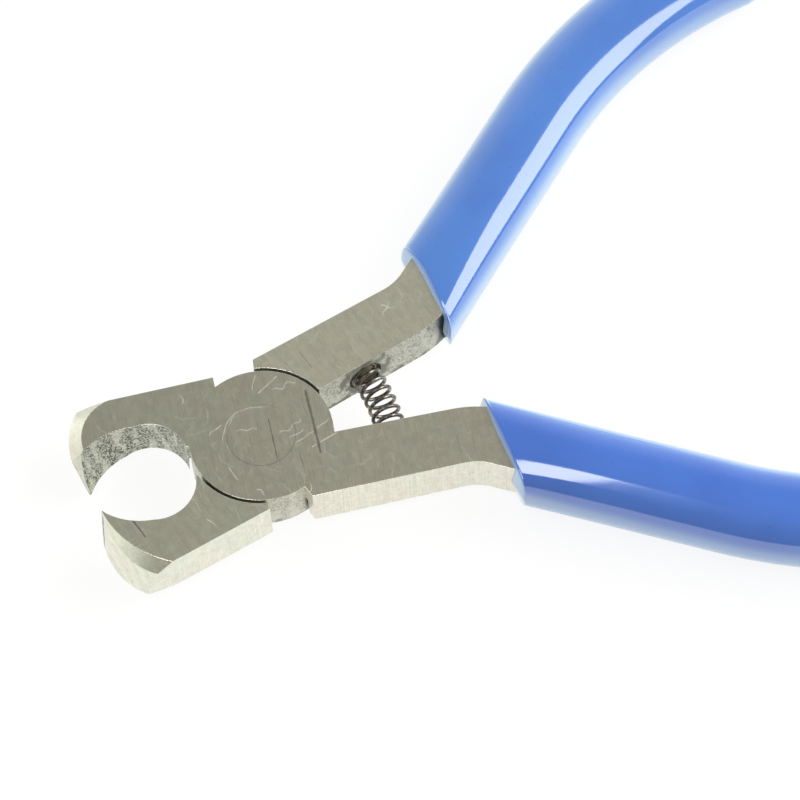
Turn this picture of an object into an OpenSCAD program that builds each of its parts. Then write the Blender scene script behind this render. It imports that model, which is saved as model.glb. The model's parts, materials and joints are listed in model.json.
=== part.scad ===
// End cutting nippers: two lapped steel halves on a flush rivet, a coil return spring and dipped grips.
// The pivot is the Z axis, the jaws point to -X and the handles to +X, open as the spring leaves them.

/* [Steel] */
// Thickness of the ground jaws and arms
steel_t = 6.6; // [5.6:0.1:8]
// Radius of the two lapped discs
disc_r = 9.4; // [8.6:0.1:10.4]
// Gap between a disc and the shoulders around it
shoulder_gap = 0.4; // [0.3:0.05:0.6]
// Gap between the faces of the two discs
lap_gap = 0.06; // [0.02:0.02:0.2]
// Angle from the spring's rest to the closed tool
open_angle = 21; // [16:0.5:24]

/* [Jaws] */
// Reach of the jaws beyond the disc
jaw_reach = 14.4; // [12:0.1:17]
// Height of a jaw's outer edge over the disc, at the joint
jaw_proud = 0.25; // [0.1:0.05:1]
// Fall of the outer edge from the joint to the jaw's end
jaw_fall = 0.55; // [0:0.05:1.5]
// Distance of the jaw's shoulder from the pivot
jaw_shoulder = 4.6; // [3:0.1:6]
// Height over the midline where the jaw leaves the disc
throat_rise = 0.4; // [0.2:0.1:1.5]
// Radius of the ground end face
end_r = 11; // [9:0.5:14]
// Height of the end face's centre over the midline
end_rise = 2.1; // [0:0.1:4]
// Lean of the end face from the pivot's direction
end_lean = 19; // [0:1:25]
// Direction in which the end face leans
end_lean_dir = 132; // [110:1:160]
// Radius of the end corner on the face beside the disc
corner_r = 5.6; // [4:0.1:7]
// How far that corner lies inside the end face
corner_inset = 1; // [0.6:0.05:1.6]
// Height over the outer edge of the circle that rounds that corner
corner_over = 0.1; // [0.1:0.05:0.4]
// Radius of the end corner on the lapped face
lap_corner_r = 14.2; // [11:0.1:16]
// How far that corner lies inside the end face
lap_corner_inset = 1.05; // [0.6:0.05:1.6]
// Height of that corner's centre over the midline
lap_corner_rise = -0.6; // [-1.5:0.1:1.5]
// Run of the end chamfers for each millimetre of depth
chamfer_slope = 1.5; // [1:0.1:2]

/* [Bite] */
// Radius of the bite at the throat
bite_r = 5.35; // [4:0.05:6.5]
// Depth of the bite over the line of the cutting edges
bite_depth = 4.2; // [3:0.1:5]
// Steel left between the bite and the disc's edge
throat_wall = 0.25; // [0.1:0.05:0.8]
// Radius of the relief towards the cutting edge
relief_r = 8.7; // [8:0.1:12]
// How far the relief's top lies from the bite's top towards the jaw's end
relief_lead = 0.5; // [0.4:0.1:1.2]
// How far the relief's top stays under the bite's top
relief_drop = 0.12; // [0.08:0.02:0.3]
// Lean of the relief towards the jaw's end
relief_lean = 20; // [10:1:24]
// Slope of the cutting edge against the pivot's direction
edge_skew = 26; // [10:1:32]
// Angle between the line of the cutting edges and the midline of the handles
bite_turn = 2.3; // [0:0.1:4]
// Gap left between the closed cutting edges
edge_gap = 0.12; // [0.08:0.02:0.3]

/* [Arms] */
// Gap between the closed arms
arm_gap = 3.1; // [2.4:0.1:5]
// Height of an arm's outer edge over the disc, at the joint
arm_proud = 0.65; // [0.45:0.05:1.5]
// Distance of the arm's outer shoulder from the pivot
arm_shoulder = 4.8; // [3.5:0.1:6]
// Distance of the bend from the pivot
arm_len = 27.4; // [25:0.1:32]
// Radius of the bend
bend_r = 11; // [8:0.5:13]
// Angle at which the handles leave the arms
flare = 28; // [20:1:34]

/* [Handles] */
// Width of the arm's end and of the tang in the grip
tang_w = 8; // [6.5:0.1:9]
// How much each face of the tang is cut back inside the grip
tang_step = 0.5; // [0.3:0.05:1]
// Straight length of the handle from the bend
handle_straight = 33; // [25:1:42]
// Radius of the handle's bow
bow_r = 62; // [45:1:80]
// Angle through which the handle bows back
bow_angle = 34; // [20:1:42]

/* [Grips] */
// Wall of the grip beside the tang's inner edge
grip_inner = 1.4; // [1:0.05:2]
// Wall of the grip beside the tang's outer edge
grip_outer = 2.1; // [1.4:0.05:3]
// Wall of the grip over the tang's faces
grip_face = 2.1; // [1.4:0.05:3]
// Squareness of the grip's section, where 2 gives an oval
grip_square = 2.6; // [2:0.1:4]
// Radius of the lip round the grip's mouth
lip_r = 0.5; // [0.3:0.1:1]
// Distance of the grip's mouth past the bend
mouth_past = 2.3; // [1.5:0.05:5]
// Tilt of the grip's mouth against the closed arms
mouth_tilt = 10; // [0:1:14]
// How much further along the handle the mouth lies on the faces than at the edges
mouth_bow = 0.45; // [0:0.05:1]
// Gap between the arm's shoulder and the grip's mouth
mouth_gap = 0.2; // [0.1:0.05:0.4]
// Gap between the tang and the grip
tang_clear = 0.1; // [0.05:0.05:0.3]

/* [Rivet] */
// Radius of the rivet's shank
rivet_r = 2.4; // [1.8:0.1:3]
// Radius of the flush heads
head_r = 4.4; // [3.4:0.1:5]
// Running clearance round the rivet in the front half
pivot_clear = 0.05; // [0.02:0.01:0.1]

/* [Spring] */
// Diameter of the spring wire
wire_d = 0.5; // [0.4:0.05:0.6]
// Diameter of the coils at the wire's centre
coil_d = 3.7; // [3:0.1:4]
// Number of coils
coils = 10; // [7:0.5:11]
// How much closer than their mean the end coils lie, as a share
coil_close = 0.2; // [0:0.05:0.35]
// Distance of the spring from the pivot
spring_x = 16.6; // [14:0.1:19]
// Depth of the spring's holes in the arms
hole_depth = 2.6; // [2:0.1:3.5]
// Clearance round the spring in its holes
hole_clear = 0.3; // [0.3:0.05:0.45]
// Gap between the spring's ends and the floors of the holes
seat_gap = 0.1; // [0.05:0.05:0.3]

/* [Hidden] */
$fn = 96;

steel_colour = [0.66, 0.66, 0.61];
wire_colour = [0.33, 0.31, 0.28];
grip_colour = [0.18, 0.36, 0.76];

mid_z = steel_t / 2;
half_angle = open_angle / 2;
// Overshoot of a cutting tool past the face it cuts
over = 1;
shoulder_r = disc_r + shoulder_gap;
tip_x = disc_r + jaw_reach;
// Length of the tools that shape the jaw's end, well past the tip
blank_x = tip_x + 3;
jaw_root_y = disc_r + jaw_proud;
bite_x = disc_r + throat_wall + bite_r;
bend_run = bend_r * tan(flare / 2);
bend_x = arm_len - bend_run;
arm_inner_y = arm_gap / 2;
arm_mid_y = arm_inner_y + tang_w / 2;
arm_root_y = disc_r + arm_proud;
tang_t = steel_t - 2 * tang_step;
grip_w = tang_w + 2 * tang_clear + grip_inner + grip_outer;
grip_off = (grip_inner - grip_outer) / 2;
grip_t = tang_t + 2 * (tang_clear + grip_face);
// Bow of the mouth where the grip's bore meets the tang's faces
face_bow = mouth_bow * (tang_t / 2 + tang_clear) / (grip_t / 2);
step_x = arm_len + mouth_past + (face_bow * cos(flare + mouth_tilt) - mouth_gap) / cos(mouth_tilt);
bow_run = bow_r * bow_angle * PI / 180;
handle_end = handle_straight + bow_run;
bend_steps = 12;
bow_steps = 16;
hole_d = coil_d + wire_d + 2 * hole_clear;

// One half is drawn closed, with its jaw at +Y, its arm at -Y and its disc on the upper face.

// Height of the jaw's outer edge at a distance from the pivot
function jaw_edge_y(x) = jaw_root_y - jaw_fall * (x - jaw_shoulder) / (tip_x - jaw_shoulder);

module jaw_blank() {
    throat_tool_y = bite_r;
    linear_extrude(steel_t)
        polygon([
            [-jaw_shoulder, jaw_root_y],
            [-blank_x, jaw_edge_y(blank_x)],
            [-blank_x, -throat_tool_y],
            [-bite_x, -throat_tool_y],
            [-bite_x, throat_rise],
            [-jaw_shoulder, throat_rise]
        ]);
}

// What lies outside a child near the jaw's end, to be cut away
module outside_of(from_x) {
    difference() {
        translate([-blank_x - over, -blank_x, -over])
            cube([blank_x + over - from_x, 2 * blank_x, steel_t + 2 * over]);
        children();
    }
}

// A round bar through the jaw at mid thickness, leaning towards one direction
module leaning_bar(r, lean, direction) {
    rotate(direction)
        rotate([0, lean, 0])
            cylinder(r = r, h = 6 * steel_t, center = true);
}

// A cone that has a given radius at z = 0 and widens upwards
module chamfer_cone(r) {
    depth = steel_t + over;
    translate([0, 0, -over])
        cylinder(r1 = r - over * chamfer_slope, r2 = r + depth * chamfer_slope, h = depth + over);
}

module end_grinding() {
    end_x = tip_x - end_r;
    corner_x = tip_x - corner_inset - corner_r;
    lap_corner_x = tip_x - lap_corner_inset - lap_corner_r;
    outside_of(end_x + over)
        translate([-end_x, end_rise, mid_z])
            leaning_bar(end_r, end_lean, end_lean_dir);
    outside_of(corner_x)
        translate([-corner_x, jaw_edge_y(corner_x) + corner_over - corner_r, steel_t])
            mirror([0, 0, 1])
                chamfer_cone(corner_r);
    outside_of(lap_corner_x + over)
        translate([-lap_corner_x, lap_corner_rise, 0])
            chamfer_cone(lap_corner_r);
}

module bite_grinding() {
    translate([-bite_x, bite_depth - bite_r, -over])
        cylinder(r = bite_r, h = steel_t + 2 * over);
    intersection() {
        translate([-bite_x - relief_lead, bite_depth - relief_drop - relief_r, mid_z])
            leaning_bar(relief_r, relief_lean, 180);
        translate([-blank_x - over, -blank_x, -over])
            cube([blank_x + over - bite_x, 2 * blank_x, steel_t + 2 * over]);
    }
    translate([-blank_x - over, edge_gap / 2, mid_z])
        rotate([-edge_skew, 0, 0])
            translate([0, -blank_x, -blank_x])
                cube([blank_x + over - bite_x, blank_x, 2 * blank_x]);
}

module jaw(turn) {
    difference() {
        jaw_blank();
        end_grinding();
        rotate(-turn)
            bite_grinding();
    }
}

// The handle's middle line: straight from the bend, then bowed; s is the distance along it.

function unit(angle) = [cos(angle), sin(angle)];
function heading(s) = max(s - handle_straight, 0) / bow_r * 180 / PI - flare;
function handle_point(s) =
    [arm_len, -arm_mid_y] + min(s, handle_straight) * unit(-flare)
    + bow_r * (unit(90 - flare) + unit(heading(s) - 90));

// Distances of the bow's stations along that line
bow_s = [for (i = [0:bow_steps]) handle_straight + bow_run * i / bow_steps];

// One edge of the bend, the straight run and the bow, a distance u to the left of the middle line
function arm_edge(u) =
    concat(
        [
            for (i = [0:bend_steps])
                [bend_x, -arm_mid_y - bend_r] + (bend_r + u) * unit(90 - flare * i / bend_steps)
        ],
        [for (s = bow_s) handle_point(s) + u * unit(heading(s) + 90)]
    );

module arm_outline() {
    root_x = arm_shoulder * arm_inner_y / arm_root_y;
    inner = arm_edge(tang_w / 2);
    outer = arm_edge(-tang_w / 2);
    polygon(concat(
        [[root_x, -arm_inner_y]],
        inner,
        [for (i = [len(outer) - 1:-1:0]) outer[i]],
        [[arm_shoulder, -arm_root_y]]
    ));
}

// The arm's plate, cut back on both faces where the grip covers it
module arm() {
    difference() {
        linear_extrude(steel_t)
            arm_outline();
        for (z = [-over, steel_t - tang_step])
            translate([step_x, -arm_mid_y, z])
                rotate(mouth_tilt)
                    translate([0, -handle_end, 0])
                        cube([2 * handle_end, 2 * handle_end, tang_step + over]);
    }
}

module half(turn, clear) {
    lap_z = mid_z + lap_gap / 2;
    head_depth = head_r - rivet_r;
    difference() {
        union() {
            difference() {
                union() {
                    jaw(turn);
                    arm();
                }
                translate([0, 0, -over])
                    cylinder(r = shoulder_r, h = lap_z + over);
            }
            translate([0, 0, lap_z])
                cylinder(r = disc_r, h = steel_t - lap_z);
        }
        translate([0, 0, -over])
            cylinder(r = rivet_r + clear, h = steel_t + 2 * over);
        translate([0, 0, steel_t - head_depth - clear])
            cylinder(r1 = rivet_r, r2 = head_r + clear + over, h = head_depth + clear + over);
        translate([spring_x, -arm_inner_y + over, mid_z])
            rotate([90, 0, 0])
                cylinder(d = hole_d, h = hole_depth + over);
    }
}

// A closed skin over a list of rings, each a list of points; both ends close on their middles
module lofted(rings) {
    n = len(rings[0]);
    last = len(rings) - 1;
    ends = [for (ring = [rings[0], rings[last]]) [for (p = ring) 1] * ring / n];
    points = concat(ends, [for (ring = rings) each ring]);
    sides = [
        for (i = [0:last - 1], j = [0:n - 1])
            let (a = 2 + i * n + j, b = 2 + i * n + (j + 1) % n)
            each [[a, a + n, b], [b, a + n, b + n]]
    ];
    start_cap = [for (j = [0:n - 1]) [0, 2 + j, 2 + (j + 1) % n]];
    end_cap = [for (j = [0:n - 1]) [1, 2 + last * n + (j + 1) % n, 2 + last * n + j]];
    polyhedron(points = points, faces = concat(start_cap, sides, end_cap));
}

// Where a line beside the middle line, through a section's point, comes out of the grip's mouth
function mouth_s(p) =
    let (turn = flare + mouth_tilt)
    (mouth_past * cos(mouth_tilt) - p.x * sin(turn)) / cos(turn) + mouth_bow * abs(p.y) / (grip_t / 2);

// A section's point carried to a place on the handle
function carried(p, s, lead) =
    let (turn = heading(s), q = handle_point(s) + lead * unit(turn) + p.x * unit(turn + 90))
    [q.x, q.y, mid_z + p.y];

// Points of a square of half width 1, six to a side
square_ring = [for (k = [0:3], j = [-3:2]) rotated_quarter([1, j / 3], k)];
function rotated_quarter(p, k) = k == 0 ? p : rotated_quarter([-p.y, p.x], k - 1);

function bore_section() =
    [for (p = square_ring) [p.x * (tang_w / 2 + tang_clear), p.y * (tang_t / 2 + tang_clear)]];

function oval(c) = sign(c) * pow(abs(c), 2 / grip_square);
function grip_section(inset) =
    [
        for (p = square_ring)
            let (c = p / norm(p))
            [grip_off + oval(c.x) * (grip_w / 2 - inset), oval(c.y) * (grip_t / 2 - inset)]
    ];

// A ring between the mouth and the straight run's end, at a share of the way
function straight_ring(section, share, lead) =
    [
        for (p = section)
            carried(p, (1 - share) * (mouth_s(p) + lead) + share * handle_straight, 0)
    ];

module grip() {
    cap_steps = 6;
    // Last ring of the rounded end, short of the point itself
    cap_turn = 85;
    bore = bore_section();
    skin = grip_section(0);
    lofted(concat(
        [[for (p = bore) carried(p, handle_end, tang_clear)]],
        [for (i = [bow_steps:-1:0]) [for (p = bore) carried(p, bow_s[i], 0)]],
        [straight_ring(bore, 0, 0)],
        [
            for (turn = [0:30:90])
                straight_ring(grip_section(lip_r * (1 - sin(turn))), 0, lip_r * (1 - cos(turn)))
        ],
        [for (share = [1 / 3, 2 / 3]) straight_ring(skin, share, 0)],
        [for (s = bow_s) [for (p = skin) carried(p, s, 0)]],
        [
            for (i = [1:cap_steps])
                let (turn = cap_turn * i / cap_steps)
                [for (p = skin) carried(p * cos(turn), handle_end, grip_w / 2 * sin(turn))]
        ]
    ));
}

// Turns a closed piece of the front half out to its open place
module open_front() {
    rotate(-half_angle)
        children();
}

// Turns a closed piece over and out to the rear half's open place
module open_rear() {
    rotate(half_angle)
        translate([0, 0, steel_t])
            rotate([180, 0, 0])
                children();
}

module front_half() {
    color(steel_colour)
        open_front()
            half(bite_turn, pivot_clear);
}

module rear_half() {
    color(steel_colour)
        open_rear()
            half(-bite_turn, 0);
}

module front_grip() {
    color(grip_colour)
        open_front()
            grip();
}

module rear_grip() {
    color(grip_colour)
        open_rear()
            grip();
}

module pivot_rivet() {
    head_depth = head_r - rivet_r;
    color(steel_colour)
        rotate_extrude()
            polygon([
                [0, 0],
                [head_r, 0],
                [rivet_r, head_depth],
                [rivet_r, steel_t - head_depth],
                [head_r, steel_t],
                [0, steel_t]
            ]);
}

// The spring's axis: straight in both holes and an arc between them, in the plane z = mid_z.

hole_x = spring_x * cos(half_angle) - arm_inner_y * sin(half_angle);
hole_y = spring_x * sin(half_angle) + arm_inner_y * cos(half_angle);
arc_r = hole_y / sin(half_angle);
arc_x = hole_x - arc_r * cos(half_angle);
arc_run = arc_r * open_angle * PI / 180;
axis_run = arc_run + 2 * hole_depth;

// Heading of the axis, as an angle from +Y, at a distance from the front hole's floor
function axis_turn(s) =
    half_angle - open_angle * min(max((s - hole_depth) / arc_run, 0), 1);

// Straight lead of the axis inside a hole
function axis_lead(s) = min(s - hole_depth, 0) + max(s - hole_depth - arc_run, 0);

function axis_point(s) =
    let (turn = axis_turn(s), lead = axis_lead(s))
    [
        arc_x + arc_r * cos(turn) + lead * sin(turn),
        -arc_r * sin(turn) + lead * cos(turn),
        mid_z
    ];

// The wire: a helix on that axis, whose two ends turn to run straight at the holes' floors.

wire_rings = round(coils * 8);
wire_sides = 6;
tail_bend = 0.9 * wire_d;
coil_start = seat_gap + wire_d + tail_bend;
coil_run = axis_run - 2 * coil_start;

// Pitch of the coils against their mean, at a share of the way
function pitch_share(x) = 1 - coil_close * cos(360 * x);
function ring_share(i) = i / wire_rings;
function ring_s(i) =
    let (x = ring_share(i))
    coil_start + coil_run * (x - coil_close * sin(360 * x) / (2 * PI));
function ring_phase(i) = 360 * coils * ring_share(i);
function across(s) = [cos(axis_turn(s)), -sin(axis_turn(s)), 0];
function along(s) = [sin(axis_turn(s)), cos(axis_turn(s)), 0];
function outward(s, phase) = cos(phase) * across(s) - [0, 0, sin(phase)];
function round_way(s, phase) = -sin(phase) * across(s) - [0, 0, cos(phase)];
function coil_point(s, phase) = axis_point(s) + coil_d / 2 * outward(s, phase);

// A ring of the wire: its centre, its heading and its outward direction
function coil_ring(i) =
    let (
        s = ring_s(i),
        phase = ring_phase(i),
        rise = coil_run / coils * pitch_share(ring_share(i)) / (PI * coil_d)
    )
    [coil_point(s, phase), round_way(s, phase) + rise * along(s), outward(s, phase)];

// The rings of a tail, counted away from the coil; way is -1 at the front hole and 1 at the rear
function tail_ring(way, k) =
    let (
        i = way < 0 ? 0 : wire_rings,
        s = ring_s(i),
        phase = ring_phase(i),
        forward = [0.7, 1, 1][k] * tail_bend,
        lead = [0.3 * tail_bend, tail_bend, tail_bend + wire_d][k],
        slope = [0.7, 0, 0][k],
        centre = coil_point(s, phase) + way * (forward * round_way(s, phase) + lead * along(s))
    )
    [centre, slope * round_way(s, phase) + along(s), outward(s, phase)];

wire_path = concat(
    [for (k = [2:-1:0]) tail_ring(-1, k)],
    [for (i = [0:wire_rings]) coil_ring(i)],
    [for (k = [0:2]) tail_ring(1, k)]
);

function ring_points(ring) =
    let (u = ring[2], v = cross(ring[1], u) / norm(ring[1]))
    [
        for (j = [0:wire_sides - 1])
            ring[0] + wire_d / 2 * (cos(360 * j / wire_sides) * u + sin(360 * j / wire_sides) * v)
    ];

// Least gap between turns, over wire centres more than half a turn apart
coil_gap = min([
    for (i = [0:wire_rings - 5], j = [i + 5:wire_rings])
        norm(coil_ring(i)[0] - coil_ring(j)[0])
]) - wire_d;
echo(coil_gap = coil_gap);

module return_spring() {
    color(wire_colour)
        lofted([for (ring = wire_path) ring_points(ring)]);
}

front_half();
rear_half();
pivot_rivet();
return_spring();
front_grip();
rear_grip();
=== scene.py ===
import json
import math

import bmesh
import bpy
from mathutils import Matrix, Quaternion, Vector


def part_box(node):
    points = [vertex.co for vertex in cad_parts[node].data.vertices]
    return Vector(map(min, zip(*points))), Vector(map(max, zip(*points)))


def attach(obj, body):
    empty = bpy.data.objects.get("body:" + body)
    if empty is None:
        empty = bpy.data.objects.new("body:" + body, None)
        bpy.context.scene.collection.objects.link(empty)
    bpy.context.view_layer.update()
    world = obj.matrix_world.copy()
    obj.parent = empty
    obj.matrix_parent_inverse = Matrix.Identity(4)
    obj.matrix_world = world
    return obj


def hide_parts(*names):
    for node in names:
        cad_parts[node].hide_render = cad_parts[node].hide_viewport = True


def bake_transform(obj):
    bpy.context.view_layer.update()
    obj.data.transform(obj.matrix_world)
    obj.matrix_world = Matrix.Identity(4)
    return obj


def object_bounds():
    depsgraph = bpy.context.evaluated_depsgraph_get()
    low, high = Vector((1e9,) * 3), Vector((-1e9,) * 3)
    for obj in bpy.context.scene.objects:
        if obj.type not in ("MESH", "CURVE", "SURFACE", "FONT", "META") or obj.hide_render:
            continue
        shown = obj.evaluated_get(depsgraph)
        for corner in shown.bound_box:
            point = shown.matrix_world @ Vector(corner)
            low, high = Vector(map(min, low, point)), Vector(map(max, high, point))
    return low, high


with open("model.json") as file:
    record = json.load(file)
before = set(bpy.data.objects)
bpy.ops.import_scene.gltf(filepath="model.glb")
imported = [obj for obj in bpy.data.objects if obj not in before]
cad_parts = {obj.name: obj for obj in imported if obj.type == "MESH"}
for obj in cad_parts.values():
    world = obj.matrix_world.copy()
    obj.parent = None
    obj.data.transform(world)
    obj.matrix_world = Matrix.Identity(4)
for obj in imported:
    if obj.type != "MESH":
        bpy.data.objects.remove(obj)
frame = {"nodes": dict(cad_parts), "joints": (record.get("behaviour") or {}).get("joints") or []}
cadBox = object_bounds()

mm = 0.001
scene = bpy.context.scene
scene.view_settings.view_transform = "Standard"

openAngle = math.radians(frame["joints"][0]["range_deg"][1])
halfAngle = openAngle / 2
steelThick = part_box("front_half")[1].z / mm
midHeight = steelThick / 2
lowest = cadBox[0].z / mm
print("frame loaded,", len(frame["nodes"]), "nodes")


# Helpers for node trees

def feed(tree, socket, value):
    if isinstance(value, bpy.types.NodeSocket):
        tree.links.new(value, socket)
    else:
        socket.default_value = value


def addNode(tree, kind, inputs=None, **settings):
    node = tree.nodes.new(kind)
    for name, value in settings.items():
        setattr(node, name, value)
    for name, value in (inputs or {}).items():
        feed(tree, node.inputs[name], value)
    return node


def calc(tree, operation, *values, clamp=False):
    inputs = dict(enumerate(values))
    return addNode(tree, "ShaderNodeMath", inputs, operation=operation, use_clamp=clamp).outputs[0]


def vectorCalc(tree, operation, *values):
    node = addNode(tree, "ShaderNodeVectorMath", dict(enumerate(values)), operation=operation)
    single = operation in ("LENGTH", "DOT_PRODUCT", "DISTANCE")
    return node.outputs["Value" if single else "Vector"]


def split(tree, vector):
    return addNode(tree, "ShaderNodeSeparateXYZ", {"Vector": vector}).outputs


def step(tree, value, low, high, fromLow=0.0, toHigh=1.0):
    inputs = {"Value": value, "From Min": low, "From Max": high, "To Min": fromLow, "To Max": toHigh}
    return addNode(tree, "ShaderNodeMapRange", inputs, interpolation_type="SMOOTHSTEP").outputs[0]


def mixColour(tree, share, first, second, blend="MIX"):
    node = addNode(tree, "ShaderNodeMix", data_type="RGBA", blend_type=blend)
    feed(tree, node.inputs[0], share)
    feed(tree, node.inputs[6], first)
    feed(tree, node.inputs[7], second)
    return node.outputs[2]


def noise(tree, place, stretch, detail=2.0, rough=0.5):
    stretched = vectorCalc(tree, "MULTIPLY", place, stretch)
    inputs = {"Vector": stretched, "Scale": 1.0, "Detail": detail, "Roughness": rough}
    return addNode(tree, "ShaderNodeTexNoise", inputs).outputs[0]


def newGroup(kind, name, inputs, outputs):
    tree = bpy.data.node_groups.new(name, kind)
    for direction, sockets in (("INPUT", inputs), ("OUTPUT", outputs)):
        for label, socketType in sockets.items():
            tree.interface.new_socket(label, in_out=direction, socket_type="NodeSocket" + socketType)
    given = tree.nodes.new("NodeGroupInput").outputs
    result = tree.nodes.new("NodeGroupOutput").inputs
    return tree, given, result


def useGroup(tree, group, inputs):
    node = addNode(tree, "ShaderNodeGroup", node_tree=group)
    for name, value in inputs.items():
        feed(tree, node.inputs[name], value)
    return node.outputs


def newMaterial(name):
    material = bpy.data.materials.new(name)
    material.use_nodes = True
    return material, material.node_tree, material.node_tree.nodes["Principled BSDF"].inputs


# Shared surface effects, all in millimetres

def makeOwnPlace():
    tree, given, result = newGroup("ShaderNodeTree", "ownPlace", {"Turn": "Float"}, {"Place": "Vector"})
    place = addNode(tree, "ShaderNodeTexCoord").outputs["Object"]
    turned = addNode(tree, "ShaderNodeVectorRotate", {"Vector": place, "Angle": given["Turn"]},
                     rotation_type="Z_AXIS").outputs[0]
    feed(tree, result["Place"], vectorCalc(tree, "MULTIPLY", turned, (1000, 1000, 1000)))
    return tree


def makeGrindLines():
    outputs = {"Lines": "Float", "Patches": "Float"}
    tree, given, result = newGroup("ShaderNodeTree", "grindLines", {"Place": "Vector"}, outputs)
    place = given["Place"]
    fine = noise(tree, place, (14, 0.25, 0.25), 3)
    wide = noise(tree, place, (3.2, 0.09, 0.09), 2)
    lines = calc(tree, "MULTIPLY_ADD", fine, 0.6, calc(tree, "MULTIPLY", wide, 0.4))
    feed(tree, result["Lines"], lines)
    feed(tree, result["Patches"], noise(tree, place, (0.3, 0.12, 0.3), 3))
    return tree


def makeHairMarks():
    inputs = {"Place": "Vector", "Cell": "Float", "Width": "Float", "Share": "Float"}
    tree, given, result = newGroup("ShaderNodeTree", "hairMarks", inputs, {"Mask": "Float"})
    flat = vectorCalc(tree, "MULTIPLY", given["Place"], (1, 1, 0))
    inverse = calc(tree, "DIVIDE", 1, given["Cell"])
    inCells = addNode(tree, "ShaderNodeVectorMath", {0: flat, "Scale": inverse}, operation="SCALE").outputs[0]
    cells = addNode(tree, "ShaderNodeTexVoronoi", {"Vector": inCells, "Scale": 1.0, "Randomness": 0.8},
                    voronoi_dimensions="2D").outputs
    local = vectorCalc(tree, "SUBTRACT", inCells, cells["Position"])
    chance = addNode(tree, "ShaderNodeSeparateColor", {"Color": cells["Color"]}).outputs
    turned = addNode(tree, "ShaderNodeVectorRotate",
                     {"Vector": local, "Angle": calc(tree, "MULTIPLY", chance[0], math.tau)},
                     rotation_type="Z_AXIS").outputs[0]
    x, y, _ = split(tree, turned)
    bow = calc(tree, "MULTIPLY", calc(tree, "SUBTRACT", chance[1], 0.5), 2.5)
    wave = calc(tree, "MULTIPLY", calc(tree, "SINE", calc(tree, "MULTIPLY", x, 17)), 0.02)
    curved = calc(tree, "ADD", calc(tree, "MULTIPLY", bow, calc(tree, "MULTIPLY", x, x)), wave)
    off = calc(tree, "ABSOLUTE", calc(tree, "SUBTRACT", y, curved))
    thin = calc(tree, "MULTIPLY", given["Width"], inverse)
    line = step(tree, off, thin, calc(tree, "MULTIPLY", thin, 0.4))
    ends = step(tree, calc(tree, "ABSOLUTE", x), 0.42, 0.34)
    kept = calc(tree, "LESS_THAN", chance[2], given["Share"])
    feed(tree, result["Mask"], calc(tree, "MULTIPLY", calc(tree, "MULTIPLY", line, ends), kept))
    return tree


def makeStroke():
    inputs = {"Place": "Vector", "Start": "Vector", "End": "Vector", "Bow": "Float", "Wave": "Float",
              "Width": "Float"}
    tree, given, result = newGroup("ShaderNodeTree", "stroke", inputs, {"Mask": "Float"})
    flat = vectorCalc(tree, "MULTIPLY", given["Place"], (1, 1, 0))
    run = vectorCalc(tree, "SUBTRACT", given["End"], given["Start"])
    length = vectorCalc(tree, "LENGTH", run)
    along = vectorCalc(tree, "NORMALIZE", run)
    across = vectorCalc(tree, "CROSS_PRODUCT", (0, 0, 1), along)
    out = vectorCalc(tree, "SUBTRACT", flat, given["Start"])
    reach = vectorCalc(tree, "DOT_PRODUCT", out, along)
    share = calc(tree, "DIVIDE", reach, length)
    arch = calc(tree, "MULTIPLY", calc(tree, "MULTIPLY", share, calc(tree, "SUBTRACT", 1, share)), 4)
    ripple = calc(tree, "MULTIPLY", calc(tree, "SINE", calc(tree, "MULTIPLY", reach, 3.4)), given["Wave"])
    path = calc(tree, "MULTIPLY_ADD", arch, given["Bow"], ripple)
    off = calc(tree, "ABSOLUTE", calc(tree, "SUBTRACT", vectorCalc(tree, "DOT_PRODUCT", out, across), path))
    width = calc(tree, "MULTIPLY", given["Width"], noise(tree, given["Place"], (1.4, 1.4, 0.2), 3))
    line = step(tree, off, width, calc(tree, "MULTIPLY", width, 0.2))
    ends = calc(tree, "MULTIPLY", step(tree, share, 0.0, 0.08), step(tree, share, 1.0, 0.92))
    onTop = calc(tree, "GREATER_THAN", split(tree, given["Place"])[2], midHeight)
    mask = calc(tree, "MULTIPLY", calc(tree, "MULTIPLY", line, ends), onTop)
    feed(tree, result["Mask"], mask)
    return tree


def makePitting():
    inputs = {"Place": "Vector", "Size": "Float", "Share": "Float"}
    tree, given, result = newGroup("ShaderNodeTree", "pitting", inputs, {"Mask": "Float"})
    inverse = calc(tree, "DIVIDE", 1, given["Size"])
    sized = addNode(tree, "ShaderNodeVectorMath", {0: given["Place"], "Scale": inverse},
                    operation="SCALE").outputs[0]
    grains = noise(tree, sized, (1, 1, 1), 3, 0.65)
    high = calc(tree, "SUBTRACT", 0.72, calc(tree, "MULTIPLY", given["Share"], 0.3))
    low = calc(tree, "SUBTRACT", high, 0.12)
    feed(tree, result["Mask"], step(tree, grains, low, high))
    return tree


ownPlace = makeOwnPlace()
grindLines = makeGrindLines()
hairMarks = makeHairMarks()
stroke = makeStroke()
pitting = makePitting()
print("surface effects made")


# Steel halves: the two lapped plates with their edges broken

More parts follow.
